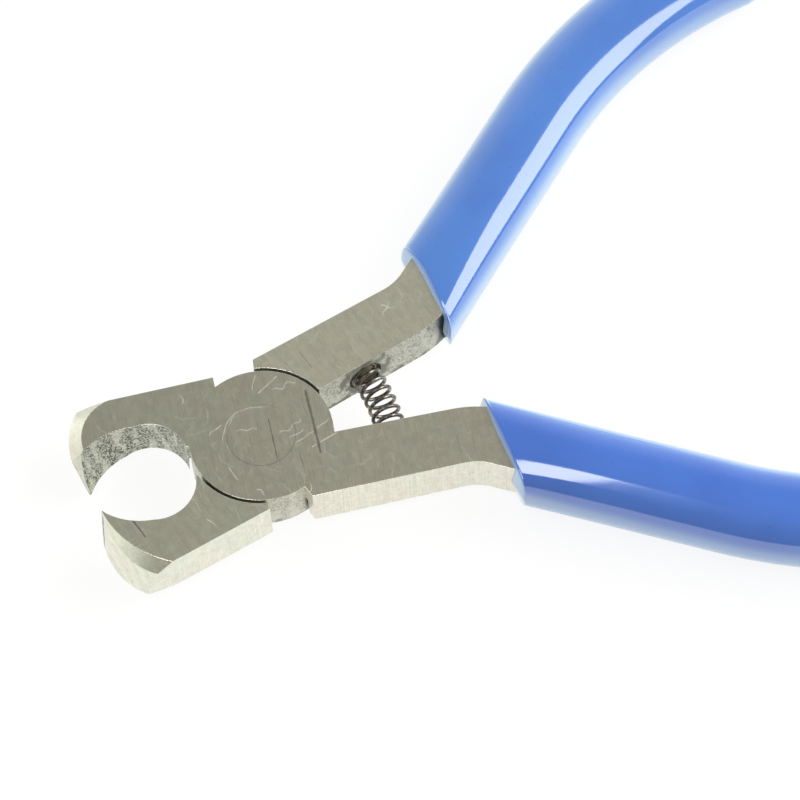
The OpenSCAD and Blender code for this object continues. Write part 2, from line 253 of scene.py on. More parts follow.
steel = {
    "grey": (0.83, 0.85, 0.715, 1),
    "brown": (0.855, 0.825, 0.70, 1),
    "pale": (0.98, 0.98, 0.90, 1),
    "pitted": (0.55, 0.58, 0.475, 1),  # of the bite's rough walls
    "stainedAndShaded": (0.57, 0.58, 0.485, 1),  # of the arms' inner faces, which are stained, and painted shade on the disc's rim in the recess between the halves
    # dark colour of dirt, and of the painted shade in gaps and recesses
    "dirtAndShade": (0.075, 0.07, 0.055, 1),
    "rough": 0.28,
    "weld": 0.002,  # points nearer than this are one
    "flatWithin": 1,  # degrees between faces that are one plane
    "edgeBreak": 0.045,  # width of the broken edges
    "edgeSteps": 2,
    "edgeRound": 0.6,
    "sharpFrom": 25,  # degrees between faces from which an edge is broken
    "knifeFrom": 125,  # degrees from which it is a cutting edge, left keen
    "rivetReach": 5,  # no edge is broken this near the pivot, so that the rivet stays flush
    # Where the masks lie: along the closed half from the pivot, and over its midline on the jaw's side
    "uprightBelow": 0.38,  # of a face's normal, along z
    "biteEnd": -9,
    "biteHigh": 5.5,
    "armStart": 8,
    "armInner": (-3, -1),
    "discRadius": 9.4,
    "rimWithin": 0.15,
    # How much painted shade the disc's rim gets, in the recess between the halves
    "rimShade": 0.7,
    "springAway": 16.6,  # where grime gathers round the spring
    "springGrime": (5.5, 2.2),
    "gripGrimeAndShade": (25.0, 29.0),  # and towards the grips, where it is partly grime and partly painted shade by the sleeves' mouths
    "underDarkening": (1.2, 0.2),  # and it turns darker towards the lower edge
    "frontTones": (0.905, 0.955),  # brightness at the jaws and along the arms
    "rearTones": (0.985, 1.145),
    "toneRun": (-8, 10),  # from the jaws to the arms
    "brownRun": (-9, -2),  # over which the patches turn browner
    "brownMore": 0.12,
    "mottle": (0.94, 1.05),
    "pits": {"Size": 0.27, "Share": 0.5},
    "specks": {"Size": 0.22, "Share": 0.1},
    "hairs": {"Cell": 3.6, "Width": 0.08, "Share": 0.3},
    "nicks": {"Cell": 1.3, "Width": 0.07, "Share": 0.2},
    "fibreWidth": 0.19,
    "creviceReach": 1.2,
    "bump": 0.05,
    # How strongly each mark shows
    "edgeShow": 0.2,
    "stainAndShadeShow": 0.85,
    "creviceShadeShow": 0.85,
    "fibreShow": 0.52,
    "hairShow": 0.22,
    "nickShow": 0.2,
    "speckShow": 0.2,
    "pitShow": 0.9,
    "grimeAndShadeShow": 0.7,
    "scratchShow": 0.88,
}

# Marks on the upper faces, in each half's own closed frame: start, end, then width or bow and wave
frontMarks = {
    "scratches": [
        ((6.7, 5.8, 0), (7.0, -4.8, 0), 0.7),
        ((1.3, 2.5, 0), (1.4, -4.2, 0), 0.32),
        ((4.2, -3.4, 0), (4.5, -6.1, 0), 0.18),
        ((6.0, 4.3, 0), (6.1, 1.1, 0), 0.16),
    ],
    "fibres": [
        ((0.6, 6.0, 0), (3.6, 8.1, 0), 0.0, 0.0),
        ((2.5, 5.9, 0), (5.7, 6.9, 0), 0.0, 0.3),
        ((0.0, 6.7, 0), (0.9, 8.8, 0), 0.1, 0.0),
        ((3.9, -2.2, 0), (9.2, 0.6, 0), -0.1, 0.05),
        ((5.9, -3.2, 0), (9.7, -1.7, 0), 0.05, 0.0),
        ((2.2, -0.3, 0), (5.5, 1.4, 0), -0.3, 0.2),
        ((3.4, -1.1, 0), (5.5, -0.4, 0), -0.1, 0.05),
        ((-5.1, -0.3, 0), (1.5, 3.8, 0), 2.2, 0.05),
        ((4.8, -8.1, 0), (4.6, -9.4, 0), 0.2, 0.0),
        ((-6.6, 1.2, 0), (-4.6, 2.4, 0), 0.3, 0.1),
        ((-5.0, -3.6, 0), (-4.1, -5.8, 0), 0.0, 0.0),
        ((-3.1, 1.1, 0), (-0.3, 0.9, 0), 0.2, 0.15),
        ((-9.4, 8.0, 0), (-9.0, 6.6, 0), 0.2, 0.1),
        ((-2.1, -7.6, 0), (-1.1, -8.6, 0), 0.2, 0.1),
    ],
}
rearMarks = {
    "scratches": [
        ((-20.1, -0.6, 0), (-19.9, -4.6, 0), 0.5),
        ((10.5, 7.8, 0), (10.6, 4.6, 0), 0.16),
        ((8.1, 7.6, 0), (8.3, 5.2, 0), 0.14),
    ],
    "fibres": [
        ((22.4, 6.0, 0), (24.4, 7.4, 0), 0.3, 0.15),
        ((23.0, 7.8, 0), (24.6, 6.4, 0), -0.2, 0.1),
        ((-12.2, -6.4, 0), (-11.6, -8.0, 0), 0.1, 0.0),
    ],
}


def strokes(tree, place, marks, width):
    mask = 0.0
    for mark in marks:
        inputs = {"Place": place, "Start": mark[0], "End": mark[1]}
        if width is None:
            inputs["Width"] = mark[2]
        else:
            inputs.update({"Width": width, "Bow": mark[2], "Wave": mark[3]})
        mask = calc(tree, "MAXIMUM", mask, useGroup(tree, stroke, inputs)["Mask"])
    return mask


def makeSteel(name, turn, tones, marks):
    material, tree, shader = newMaterial(name)
    place = useGroup(tree, ownPlace, {"Turn": turn})["Place"]
    grind = useGroup(tree, grindLines, {"Place": place})
    bite, edge, stainAndShade, flank = (
        addNode(tree, "ShaderNodeAttribute", attribute_name=label).outputs["Fac"]
        for label in ("bite", "edge", "stainAndShade", "flank")
    )
    pits = useGroup(tree, pitting, {"Place": place, **steel["pits"]})["Mask"]
    specks = useGroup(tree, pitting, {"Place": place, **steel["specks"]})["Mask"]
    hairs = useGroup(tree, hairMarks, {"Place": place, **steel["hairs"]})["Mask"]
    nicks = useGroup(tree, hairMarks, {"Place": place, **steel["nicks"]})["Mask"]
    cloud = noise(tree, place, (0.8, 0.8, 0.5), 3)

    x, _, z = split(tree, place)
    browner = step(tree, x, *steel["brownRun"], 0.0, steel["brownMore"])
    patches = calc(tree, "ADD", grind["Patches"], browner)
    colour = mixColour(tree, step(tree, patches, 0.36, 0.68), steel["grey"], steel["brown"])
    tone = step(tree, x, *steel["toneRun"], *tones)
    mottle = step(tree, noise(tree, place, (1.3, 0.9, 1.3), 3), 0.3, 0.7, *steel["mottle"])
    # The grinding shows more on the upright faces than on the flat ones
    lined = calc(tree, "MULTIPLY_ADD", flank, 0.5, 0.12)
    lined = calc(tree, "MULTIPLY_ADD", calc(tree, "SUBTRACT", grind["Lines"], 0.5), lined, 0.995)
    shade = calc(tree, "MULTIPLY", lined, tone)
    shade = calc(tree, "MULTIPLY", shade, mottle)
    grey = addNode(tree, "ShaderNodeCombineXYZ", {0: shade, 1: shade, 2: shade}).outputs[0]
    colour = mixColour(tree, 1.0, colour, grey, "MULTIPLY")
    # Painted highlight: the broken edges are made paler, as if they caught the light
    colour = mixColour(tree, calc(tree, "MULTIPLY", edge, steel["edgeShow"]), colour, steel["pale"])
    # Fibres, hairs and nicks scatter light, so they show pale on the metal
    fibres = strokes(tree, place, marks["fibres"], steel["fibreWidth"])
    lint = calc(tree, "MAXIMUM", calc(tree, "MULTIPLY", hairs, steel["hairShow"]),
                calc(tree, "MULTIPLY", nicks, steel["nickShow"]))
    lint = calc(tree, "MAXIMUM", lint, calc(tree, "MULTIPLY", fibres, steel["fibreShow"]))
    lint = calc(tree, "MULTIPLY", lint, calc(tree, "SUBTRACT", 1, bite))
    colour = mixColour(tree, lint, colour, steel["pale"])
    rubbed = step(tree, noise(tree, place, (0.9, 0.9, 0.2), 2), 0.42, 0.62, 1.0, 0.35)
    colour = mixColour(tree, calc(tree, "MULTIPLY", bite, rubbed), colour, steel["pitted"])
    # Stain on the arms' inner faces; painted shade on the disc's rim
    colour = mixColour(tree, calc(tree, "MULTIPLY", stainAndShade, steel["stainAndShadeShow"]), colour, steel["stainedAndShaded"])

    # Dirt and painted shade: specks, pits in the bite, scratches, grime at the spring, partly grime and
    # partly painted shade towards the grips, and painted shade in gaps
    onFace = addNode(tree, "ShaderNodeCombineXYZ", {0: x, 2: z}).outputs[0]
    fromSpring = vectorCalc(tree, "DISTANCE", onFace, (steel["springAway"], 0, midHeight))
    nearby = calc(tree, "MAXIMUM", step(tree, fromSpring, *steel["springGrime"]),
                  step(tree, x, *steel["gripGrimeAndShade"]))
    nearby = calc(tree, "MAXIMUM", nearby, step(tree, z, *steel["underDarkening"]))
    gathered = calc(tree, "MULTIPLY_ADD", nearby, 0.2, cloud)
    # This mask darkens the stained faces: grime round the spring, darker towards the lower edge, partly grime
    # and partly painted shade towards the grips, and painted shade on the disc's rim
    grimeAndShade = calc(tree, "MULTIPLY", stainAndShade, step(tree, gathered, 0.55, 0.75))
    speckled = calc(tree, "MULTIPLY", calc(tree, "MAXIMUM", bite, calc(tree, "MULTIPLY", stainAndShade, 0.6)), pits)
    speckled = calc(tree, "MULTIPLY", speckled, rubbed)
    scratches = strokes(tree, place, marks["scratches"], None)
    dark = calc(tree, "MAXIMUM", calc(tree, "MULTIPLY", specks, steel["speckShow"]),
                calc(tree, "MULTIPLY", speckled, steel["pitShow"]))
    dark = calc(tree, "MAXIMUM", dark, calc(tree, "MULTIPLY", grimeAndShade, steel["grimeAndShadeShow"]))
    dark = calc(tree, "MAXIMUM", dark, calc(tree, "MULTIPLY", scratches, steel["scratchShow"]))
    # Painted shade: ambient occlusion darkens the colour in gaps and crevices, such as the lap joint and the
    # spring's holes
    creviceShade = addNode(tree, "ShaderNodeAmbientOcclusion", {"Distance": steel["creviceReach"] * mm},
                      samples=8).outputs["AO"]
    dark = calc(tree, "MAXIMUM", dark, step(tree, creviceShade, 0.55, 0.15, 0.0, steel["creviceShadeShow"]))
    colour = mixColour(tree, dark, colour, steel["dirtAndShade"])
    feed(tree, shader["Base Color"], colour)
    feed(tree, shader["Metallic"], calc(tree, "SUBTRACT", 1, calc(tree, "MAXIMUM", lint, dark)))
    rough = calc(tree, "MULTIPLY_ADD", grind["Lines"], 0.1, steel["rough"] - 0.05)
    rough = calc(tree, "ADD", rough, calc(tree, "MULTIPLY", calc(tree, "MAXIMUM", bite, stainAndShade), 0.15))
    feed(tree, shader["Roughness"], rough)
    height = calc(tree, "SUBTRACT", calc(tree, "MULTIPLY", grind["Lines"], 0.12),
                  calc(tree, "MULTIPLY", dark, 0.5))
    bump = addNode(tree, "ShaderNodeBump",
                   {"Height": height, "Strength": 0.5, "Distance": steel["bump"] * mm})
    feed(tree, shader["Normal"], bump.outputs[0])
    return material


def faceMasks(face, toOwn, side, broken):
    normal = toOwn @ face.normal
    place = (toOwn @ face.calc_center_median()) / mm
    height = side * place.y  # over the midline on the jaw's side
    facing = side * normal.y
    low, high = steel["armInner"]
    upright = abs(normal.z) < steel["uprightBelow"]
    inBite = upright and place.x < steel["biteEnd"] and height < steel["biteHigh"] and facing < -0.25
    onArm = upright and place.x > steel["armStart"] and low < height < high and facing > 0.9
    # The disc's rim, recessed between the halves, gets painted shade through the stain mask
    onRim = upright and abs(place.xy.length - steel["discRadius"]) < steel["rimWithin"]
    return {
        "edge": 1.0 if face in broken else 0.0,
        "bite": 1.0 if inBite else 0.0,
        "flank": 1.0 if upright else 0.0,
        "stainAndShade": 1.0 if onArm else steel["rimShade"] if onRim else 0.0,
    }


def makeHalf(name, node, body, side, tones, marks):
    toOwn = Matrix.Rotation(halfAngle * side, 3, "Z")  # from the open place to the closed one
    mesh = bmesh.new()
    mesh.from_mesh(frame["nodes"][node].data)
    bmesh.ops.remove_doubles(mesh, verts=mesh.verts, dist=steel["weld"] * mm)
    flat = math.radians(steel["flatWithin"])
    bmesh.ops.dissolve_limit(mesh, angle_limit=flat, verts=mesh.verts, edges=mesh.edges)
    keen = math.radians(steel["knifeFrom"])
    blunt = math.radians(steel["sharpFrom"])
    breaking = [
        e for e in mesh.edges
        if len(e.link_faces) == 2 and blunt < e.calc_face_angle() < keen
        and max(v.co.xy.length for v in e.verts) > steel["rivetReach"] * mm
    ]
    made = bmesh.ops.bevel(mesh, geom=breaking, offset=steel["edgeBreak"] * mm, segments=steel["edgeSteps"],
                           profile=steel["edgeRound"], affect="EDGES", clamp_overlap=False)
    broken = set(made["faces"])
    masks = [faceMasks(f, toOwn, side, broken) for f in mesh.faces]
    for f in mesh.faces:
        f.smooth = True
    for e in mesh.edges:
        faces = e.link_faces
        border = len(faces) == 2 and (faces[0] in broken) != (faces[1] in broken)
        e.smooth = not border and e.calc_face_angle(0) < blunt
    data = bpy.data.meshes.new(name)
    mesh.to_mesh(data)
    mesh.free()
    for label in masks[0]:
        layer = data.attributes.new(label, "FLOAT", "FACE")
        layer.data.foreach_set("value", [mask[label] for mask in masks])
    data.materials.append(makeSteel(name + "Steel", halfAngle * side, tones, marks))
    piece = bpy.data.objects.new(name, data)
    scene.collection.objects.link(piece)
    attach(piece, body)
    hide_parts(node)


makeHalf("frontHalf", "front_half", "front", 1, steel["frontTones"], frontMarks)
makeHalf("rearHalf", "rear_half", "rear", -1, steel["rearTones"], rearMarks)
print("steel halves made")

rivet = frame["nodes"]["pivot_rivet"]
rivet.data.materials.clear()
rivet.data.materials.append(makeSteel("rivetSteel", halfAngle, steel["frontTones"], frontMarks))


# Pieces made by node trees

def shapeByNodes(name, tree, values):
    piece = bpy.data.objects.new(name, bpy.data.meshes.new(name))
    scene.collection.objects.link(piece)
    modifier = piece.modifiers.new("shape", "NODES")
    modifier.node_group = tree
    for item in tree.interface.items_tree:
        if item.item_type == "SOCKET" and item.in_out == "INPUT":
            modifier[item.identifier] = values[item.name]
    evaluated = piece.evaluated_get(bpy.context.evaluated_depsgraph_get())
    made = bpy.data.meshes.new_from_object(evaluated)
    made.name = name
    piece.modifiers.remove(modifier)
    piece.data = made
    return piece


def finishTree(tree, result, geometry, material):
    shaded = addNode(tree, "GeometryNodeSetShadeSmooth", {"Geometry": geometry, "Shade Smooth": True})
    real = addNode(tree, "GeometryNodeRealizeInstances", {"Geometry": shaded.outputs[0]})
    dressed = addNode(tree, "GeometryNodeSetMaterial", {"Geometry": real.outputs[0]})
    feed(tree, dressed.inputs["Material"], material)
    feed(tree, result["Geometry"], dressed.outputs[0])


# Return spring: a helix on the arc that leaves both arms square

spring = {
    "wire": 0.5,
    "coil": 3.7,  # diameter at the wire's centre
    "coils": 10.0,
    "close": 0.2,  # how much closer than their mean the end coils lie
    "tail": 0.95,  # straight length at both ends
    "away": 16.6,  # from the pivot along the closed arms
    "armFace": 1.55,  # from the midline to a closed arm's inner face
    "inHole": 2.5,  # how far the wire reaches into each arm
    "steps": 26,  # per coil
    "sides": 12,
    "blendPast": 1.2,  # a reach past the spring's ends
    "colour": (0.13, 0.115, 0.095, 1),
    "worn": (0.42, 0.40, 0.36, 1),
    "rough": (0.24, 0.42),
    "bump": 0.02,
}


def makeWire():
    material, tree, shader = newMaterial("springWire")
    place = useGroup(tree, ownPlace, {"Turn": 0.0})["Place"]
    dull = noise(tree, place, (1.6, 1.6, 1.6), 3)
    drawn = noise(tree, place, (9, 9, 9), 2)
    rubbed = step(tree, dull, 0.42, 0.7)
    feed(tree, shader["Base Color"], mixColour(tree, rubbed, spring["colour"], spring["worn"]))
    shader["Metallic"].default_value = 1.0
    feed(tree, shader["Roughness"], step(tree, drawn, 0.3, 0.7, *spring["rough"]))
    bump = addNode(tree, "ShaderNodeBump",
                   {"Height": drawn, "Strength": 0.3, "Distance": spring["bump"] * mm})
    feed(tree, shader["Normal"], bump.outputs[0])
    return material


def makeSpringTree(material):
    inputs = {"Arc radius": "Float", "Arc centre": "Float", "Reach": "Float", "Coil radius": "Float",
              "Coils": "Float", "Close": "Float", "Tail way": "Float", "Tail rise": "Float",
              "Wire radius": "Float", "Height": "Float", "Points": "Int", "Sides": "Int"}
    tree, given, result = newGroup("GeometryNodeTree", "coilSpring", inputs, {"Geometry": "Geometry"})
    line = addNode(tree, "GeometryNodeCurvePrimitiveLine").outputs[0]
    points = addNode(tree, "GeometryNodeResampleCurve", {"Curve": line, "Count": given["Points"]}).outputs[0]
    share = addNode(tree, "GeometryNodeSplineParameter").outputs["Factor"]
    # Along the wire: a straight tail, the coils with their ends close, and the other tail
    fromEnd = calc(tree, "SUBTRACT", 1, share)
    tails = [calc(tree, "DIVIDE", way, given["Tail way"], clamp=True) for way in (share, fromEnd)]
    coilSpan = calc(tree, "MULTIPLY_ADD", given["Tail way"], -2, 1)
    inCoils = calc(tree, "DIVIDE", calc(tree, "SUBTRACT", share, given["Tail way"]), coilSpan, clamp=True)
    tight = calc(tree, "SINE", calc(tree, "MULTIPLY", inCoils, math.tau))
    tight = calc(tree, "DIVIDE", calc(tree, "MULTIPLY", tight, given["Close"]), math.tau)
    rise = calc(tree, "MULTIPLY", calc(tree, "SUBTRACT", inCoils, tight),
                calc(tree, "MULTIPLY_ADD", given["Tail rise"], -2, 1))
    ends = calc(tree, "SUBTRACT", calc(tree, "ADD", tails[0], 1), tails[1])
    rise = calc(tree, "MULTIPLY_ADD", ends, given["Tail rise"], rise)
    turn = calc(tree, "MULTIPLY", calc(tree, "MULTIPLY_ADD", rise, 2, -1), given["Reach"])
    phase = calc(tree, "MULTIPLY", calc(tree, "MULTIPLY", inCoils, given["Coils"]), math.tau)
    out = calc(tree, "MULTIPLY_ADD", calc(tree, "COSINE", phase), given["Coil radius"], given["Arc radius"])
    up = calc(tree, "MULTIPLY", calc(tree, "SINE", phase), given["Coil radius"])
    place = addNode(tree, "ShaderNodeCombineXYZ", {
        "X": calc(tree, "MULTIPLY_ADD", calc(tree, "COSINE", turn), out, given["Arc centre"]),
        "Y": calc(tree, "MULTIPLY", calc(tree, "SINE", turn), out),
        "Z": calc(tree, "SUBTRACT", given["Height"], up),
    }).outputs[0]
    path = addNode(tree, "GeometryNodeSetPosition", {"Geometry": points, "Position": place}).outputs[0]
    ring = addNode(tree, "GeometryNodeCurvePrimitiveCircle",
                   {"Resolution": given["Sides"], "Radius": given["Wire radius"]}).outputs[0]
    tube = addNode(tree, "GeometryNodeCurveToMesh", {"Curve": path, "Profile Curve": ring, "Fill Caps": True})
    finishTree(tree, result, tube.outputs[0], material)
    return tree


holeX = spring["away"] * math.cos(halfAngle) - spring["armFace"] * math.sin(halfAngle)
holeY = spring["away"] * math.sin(halfAngle) + spring["armFace"] * math.cos(halfAngle)
arcRadius = holeY / math.sin(halfAngle)
springReach = halfAngle + spring["inHole"] / arcRadius
wireLength = spring["coils"] * spring["coil"] * math.pi + 2 * spring["tail"]
returnSpring = shapeByNodes("returnSpring", makeSpringTree(makeWire()), {
    "Arc radius": arcRadius * mm,
    "Arc centre": (holeX - arcRadius * math.cos(halfAngle)) * mm,
    "Reach": springReach,
    "Coil radius": spring["coil"] / 2 * mm,
    "Coils": spring["coils"],
    "Close": spring["close"],
    "Tail way": spring["tail"] / wireLength,
    "Tail rise": spring["tail"] / (2 * springReach * arcRadius),
    "Wire radius": spring["wire"] / 2 * mm,
    "Height": midHeight * mm,
    "Points": int(spring["coils"] * spring["steps"]),
    "Sides": spring["sides"],
})
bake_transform(returnSpring)
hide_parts("return_spring")
print("return spring made")


# Grips: dipped sleeves on the handles' middle lines

grip = {
    "arm": 27.4,  # from the pivot to the bend
    "armMiddle": 5.55,  # from the midline to the arm's middle
    "flare": 28,
    "straight": 33,
    "bow": 62,
    "bowAngle": 34,
    "halfWide": 5.85,
    "halfThick": 5.0,
    "offset": -0.35,  # of the section towards the outer edge
    "square": 2.6,
    "lip": 0.5,  # run over which the sleeve rounds down to the steel
    "mouthWide": 4.35,  # half sizes of the sleeve at its mouth
    "mouthThick": 3.55,
    "mouthSquare": 12,
    "thinBy": 0.65,  # how much thinner the sleeve starts behind its lip
    "squareBy": 0.6,  # how much squarer it starts there
    "fillRun": 16,  # run over which it fills out
    "mouthPast": 1.6,  # from the bend to the mouth
    "mouthTilt": 10,  # of the mouth's cut from the line across the arm
    "mouthBow": 0.9,  # how much later the mouth starts at its top and underside
    "frontCreep": (-0.4, -0.45),  # how far the mouth creeps to the jaws at its outer and inner edges
    "rearCreep": (1.0, -0.7),
    "boreWide": 4.1,
    "boreThick": 2.9,
    "boreSquare": 30,
    "boreCap": 0.05,  # run over which the bore closes at its end
    "borePast": 0.1,  # of the bore's end past the middle line's
    "tip": 0.0005,  # what is left of the section at a closed end
    "rings": 170,
    "sides": 72,
    "weld": 0.002,  # points nearer than this are one
    "sharpFrom": 40,  # degrees between faces from which the shading breaks
    "rough": (0.1, 0.15),
    "ior": 1.5,
    "coatIor": 2.0,
    "coatRough": 0.08,
    "bump": 0.06,
    "paintedSheenShow": 0.68,
    "speckShow": 0.3,
    "creviceShadeShow": 0.5,
    "creviceReach": 0.5,
    "frontBlue": (0.061, 0.208, 0.79, 1),
    "rearBlue": (0.088, 0.267, 0.81, 1),
    "deeper": (0.87, 0.88, 0.93, 1),  # what the cloudy parts are multiplied by
    "paintedSheen": (0.42, 0.74, 1.0, 1),  # painted sheen: the paler colour of the skin seen at a low angle, standing in for the reflection of the white surroundings
    # dark colour of the specks, and of the painted shade where the sleeve meets the steel
    "speckAndShade": (0.03, 0.04, 0.075, 1),
}


def makeGripPlastic(name, blue):
    material, tree, shader = newMaterial(name)
    place = useGroup(tree, ownPlace, {"Turn": 0.0})["Place"]
    cloud = noise(tree, place, (0.09, 0.09, 0.09), 3)
    specks = useGroup(tree, pitting, {"Place": place, "Size": 0.6, "Share": -0.15})["Mask"]
    colour = mixColour(tree, step(tree, cloud, 0.35, 0.68), blue, grip["deeper"], "MULTIPLY")
    # Painted sheen: the colour turns paler towards grazing angles, standing in for the reflection of the
    # white surroundings
    facing = addNode(tree, "ShaderNodeLayerWeight", {"Blend": 0.5}).outputs["Facing"]
    pale = step(tree, facing, 0.27, 0.78, 0.0, grip["paintedSheenShow"])
    colour = mixColour(tree, pale, colour, grip["paintedSheen"])
    dark = calc(tree, "MULTIPLY", specks, grip["speckShow"])
    # Painted shade: ambient occlusion darkens the plastic where the sleeve meets the steel
    creviceShade = addNode(tree, "ShaderNodeAmbientOcclusion", {"Distance": grip["creviceReach"] * mm},
                      samples=8).outputs["AO"]
    dark = calc(tree, "MAXIMUM", dark, step(tree, creviceShade, 0.4, 0.1, 0.0, grip["creviceShadeShow"]))
    feed(tree, shader["Base Color"], mixColour(tree, dark, colour, grip["speckAndShade"]))
    drip = noise(tree, place, (0.22, 0.22, 0.22), 2)
    peel = noise(tree, place, (1.4, 1.4, 1.4), 2)
    feed(tree, shader["Roughness"], step(tree, peel, 0.3, 0.7, *grip["rough"]))
    height = calc(tree, "MULTIPLY_ADD", peel, 0.03, drip)
    bump = addNode(tree, "ShaderNodeBump",
                   {"Height": height, "Strength": 0.5, "Distance": grip["bump"] * mm})
    feed(tree, shader["Normal"], bump.outputs[0])
    shader["IOR"].default_value = grip["ior"]
    shader["Coat Weight"].default_value = 1.0
    shader["Coat IOR"].default_value = grip["coatIor"]
    shader["Coat Roughness"].default_value = grip["coatRough"]
    return material


def sleeveSkin(tree, given, inner):
    span = calc(tree, "ADD", given["Straight"], calc(tree, "MULTIPLY", given["Bow"], given["Bow angle"]))
    grid = addNode(tree, "GeometryNodeMeshGrid", {
        "Size X": 1.0, "Size Y": 1.0, "Vertices X": given["Rings"], "Vertices Y": given["Sides"],
    }).outputs["Mesh"]
    across = split(tree, addNode(tree, "GeometryNodeInputPosition").outputs[0])
    share = calc(tree, "ADD", across[0], 0.5)
    angle = calc(tree, "MULTIPLY", calc(tree, "ADD", across[1], 0.5), math.tau)
    # Stations lie closest at both ends, where the lip and the rounded end need them
    eased = calc(tree, "MULTIPLY", calc(tree, "MULTIPLY", share, share),
                 calc(tree, "SUBTRACT", 3, calc(tree, "MULTIPLY", share, 2)))
    capRun = grip["boreCap"] * mm if inner else given["Half width"]
    total = calc(tree, "ADD", span, grip["borePast"] * mm if inner else given["Half width"])
    along = calc(tree, "MULTIPLY", eased, total)
    left = calc(tree, "SUBTRACT", total, along)
    toEnd = calc(tree, "SUBTRACT", 1, calc(tree, "DIVIDE", left, capRun, clamp=True))
    capScale = calc(tree, "SQRT", calc(tree, "SUBTRACT", 1, calc(tree, "MULTIPLY", toEnd, toEnd)))
    capScale = calc(tree, "MAXIMUM", capScale, grip["tip"])
    if inner:
        wide = given["Bore width"]
        thick = given["Bore thick"]
        square = given["Bore square"]
        offset = 0.0
    else:
        toLip = calc(tree, "SUBTRACT", 1, calc(tree, "DIVIDE", along, given["Lip"], clamp=True))
        swell = calc(tree, "SQRT", calc(tree, "SUBTRACT", 1, calc(tree, "MULTIPLY", toLip, toLip)))
        atMouth = calc(tree, "LESS_THAN", share, 0.0001)  # the first ring, which meets the bore's

        def choose(outerValue, boreValue):
            inputs = {"Switch": atMouth, "False": outerValue, "True": boreValue}
            return addNode(tree, "GeometryNodeSwitch", inputs, input_type="FLOAT").outputs[0]

        toFull = calc(tree, "SUBTRACT", 1, calc(tree, "DIVIDE", along, given["Fill run"], clamp=True))
        lean = calc(tree, "MULTIPLY", toFull, toFull)
        thinner = calc(tree, "MULTIPLY", lean, given["Thin by"])
        fullThick = calc(tree, "SUBTRACT", given["Half thick"], thinner)
        fullSquare = calc(tree, "MULTIPLY_ADD", lean, given["Square by"], given["Square"])

        def swollen(mouthValue, fullValue):
            gain = calc(tree, "SUBTRACT", fullValue, mouthValue)
            return calc(tree, "MULTIPLY_ADD", gain, swell, mouthValue)

        wide = choose(swollen(given["Mouth width"], given["Half width"]), given["Bore width"])
        thick = choose(swollen(given["Mouth thick"], fullThick), given["Bore thick"])
        square = choose(swollen(given["Mouth square"], fullSquare), given["Bore square"])
        offset = choose(swollen(0.0, given["Offset"]), 0.0)
    cosine = calc(tree, "COSINE", angle)
    sine = calc(tree, "SINE", angle)
    powers = [
        calc(tree, "POWER", calc(tree, "ABSOLUTE", calc(tree, "DIVIDE", part, size)), square)
        for part, size in ((cosine, calc(tree, "DIVIDE", wide, mm)), (sine, calc(tree, "DIVIDE", thick, mm)))
    ]
    inverse = calc(tree, "DIVIDE", -1, square)
    radius = calc(tree, "POWER", calc(tree, "ADD", *powers), inverse)
    radius = calc(tree, "MULTIPLY", calc(tree, "MULTIPLY", radius, mm), capScale)
    x = calc(tree, "ADD", calc(tree, "MULTIPLY", offset, capScale), calc(tree, "MULTIPLY", cosine, radius))
    y = calc(tree, "MULTIPLY", sine, radius)
    # The mouth is cut on a slant that dies out along the straight run
    mouthTurn = calc(tree, "ADD", given["Flare"], given["Mouth tilt"])
    mouth = calc(tree, "MULTIPLY", given["Mouth past"], calc(tree, "COSINE", given["Mouth tilt"]))
    mouth = calc(tree, "SUBTRACT", mouth, calc(tree, "MULTIPLY", x, calc(tree, "SINE", mouthTurn)))
    mouth = calc(tree, "DIVIDE", mouth, calc(tree, "COSINE", mouthTurn))
    height = calc(tree, "DIVIDE", calc(tree, "ABSOLUTE", y), given["Half thick"])
    mouth = calc(tree, "MULTIPLY_ADD", height, given["Mouth bow"], mouth)
    edgeShare = calc(tree, "DIVIDE", x, given["Half width"])
    for way, creep in ((-1, "Outer creep"), (1, "Inner creep")):
        reach = calc(tree, "MAXIMUM", calc(tree, "MULTIPLY", edgeShare, way), 0)
        crept = calc(tree, "MULTIPLY", calc(tree, "MULTIPLY", reach, reach), given[creep])
        mouth = calc(tree, "SUBTRACT", mouth, crept)
    fade = calc(tree, "SUBTRACT", 1, calc(tree, "DIVIDE", along, given["Straight"]), clamp=True)
    s = calc(tree, "MULTIPLY_ADD", fade, mouth, along)
    straight = calc(tree, "MINIMUM", s, given["Straight"])
    bent = calc(tree, "DIVIDE", calc(tree, "SUBTRACT", s, given["Straight"]), given["Bow"])
    bent = calc(tree, "MINIMUM", calc(tree, "MAXIMUM", bent, 0), given["Bow angle"])
    past = calc(tree, "MAXIMUM", calc(tree, "SUBTRACT", s, span), 0)
    start = calc(tree, "ADD", given["Flare"], given["Open"])
    head = calc(tree, "SUBTRACT", bent, start)
    headCos = calc(tree, "COSINE", head)
    headSin = calc(tree, "SINE", head)
    startCos = calc(tree, "COSINE", start)
    startSin = calc(tree, "SINE", start)
    openCos = calc(tree, "COSINE", given["Open"])
    openSin = calc(tree, "SINE", given["Open"])

    def addUp(*parts):
        out = parts[0]
        for part in parts[1:]:
            out = calc(tree, "ADD", out, part)
        return out

    def product(a, b):
        return calc(tree, "MULTIPLY", a, b)

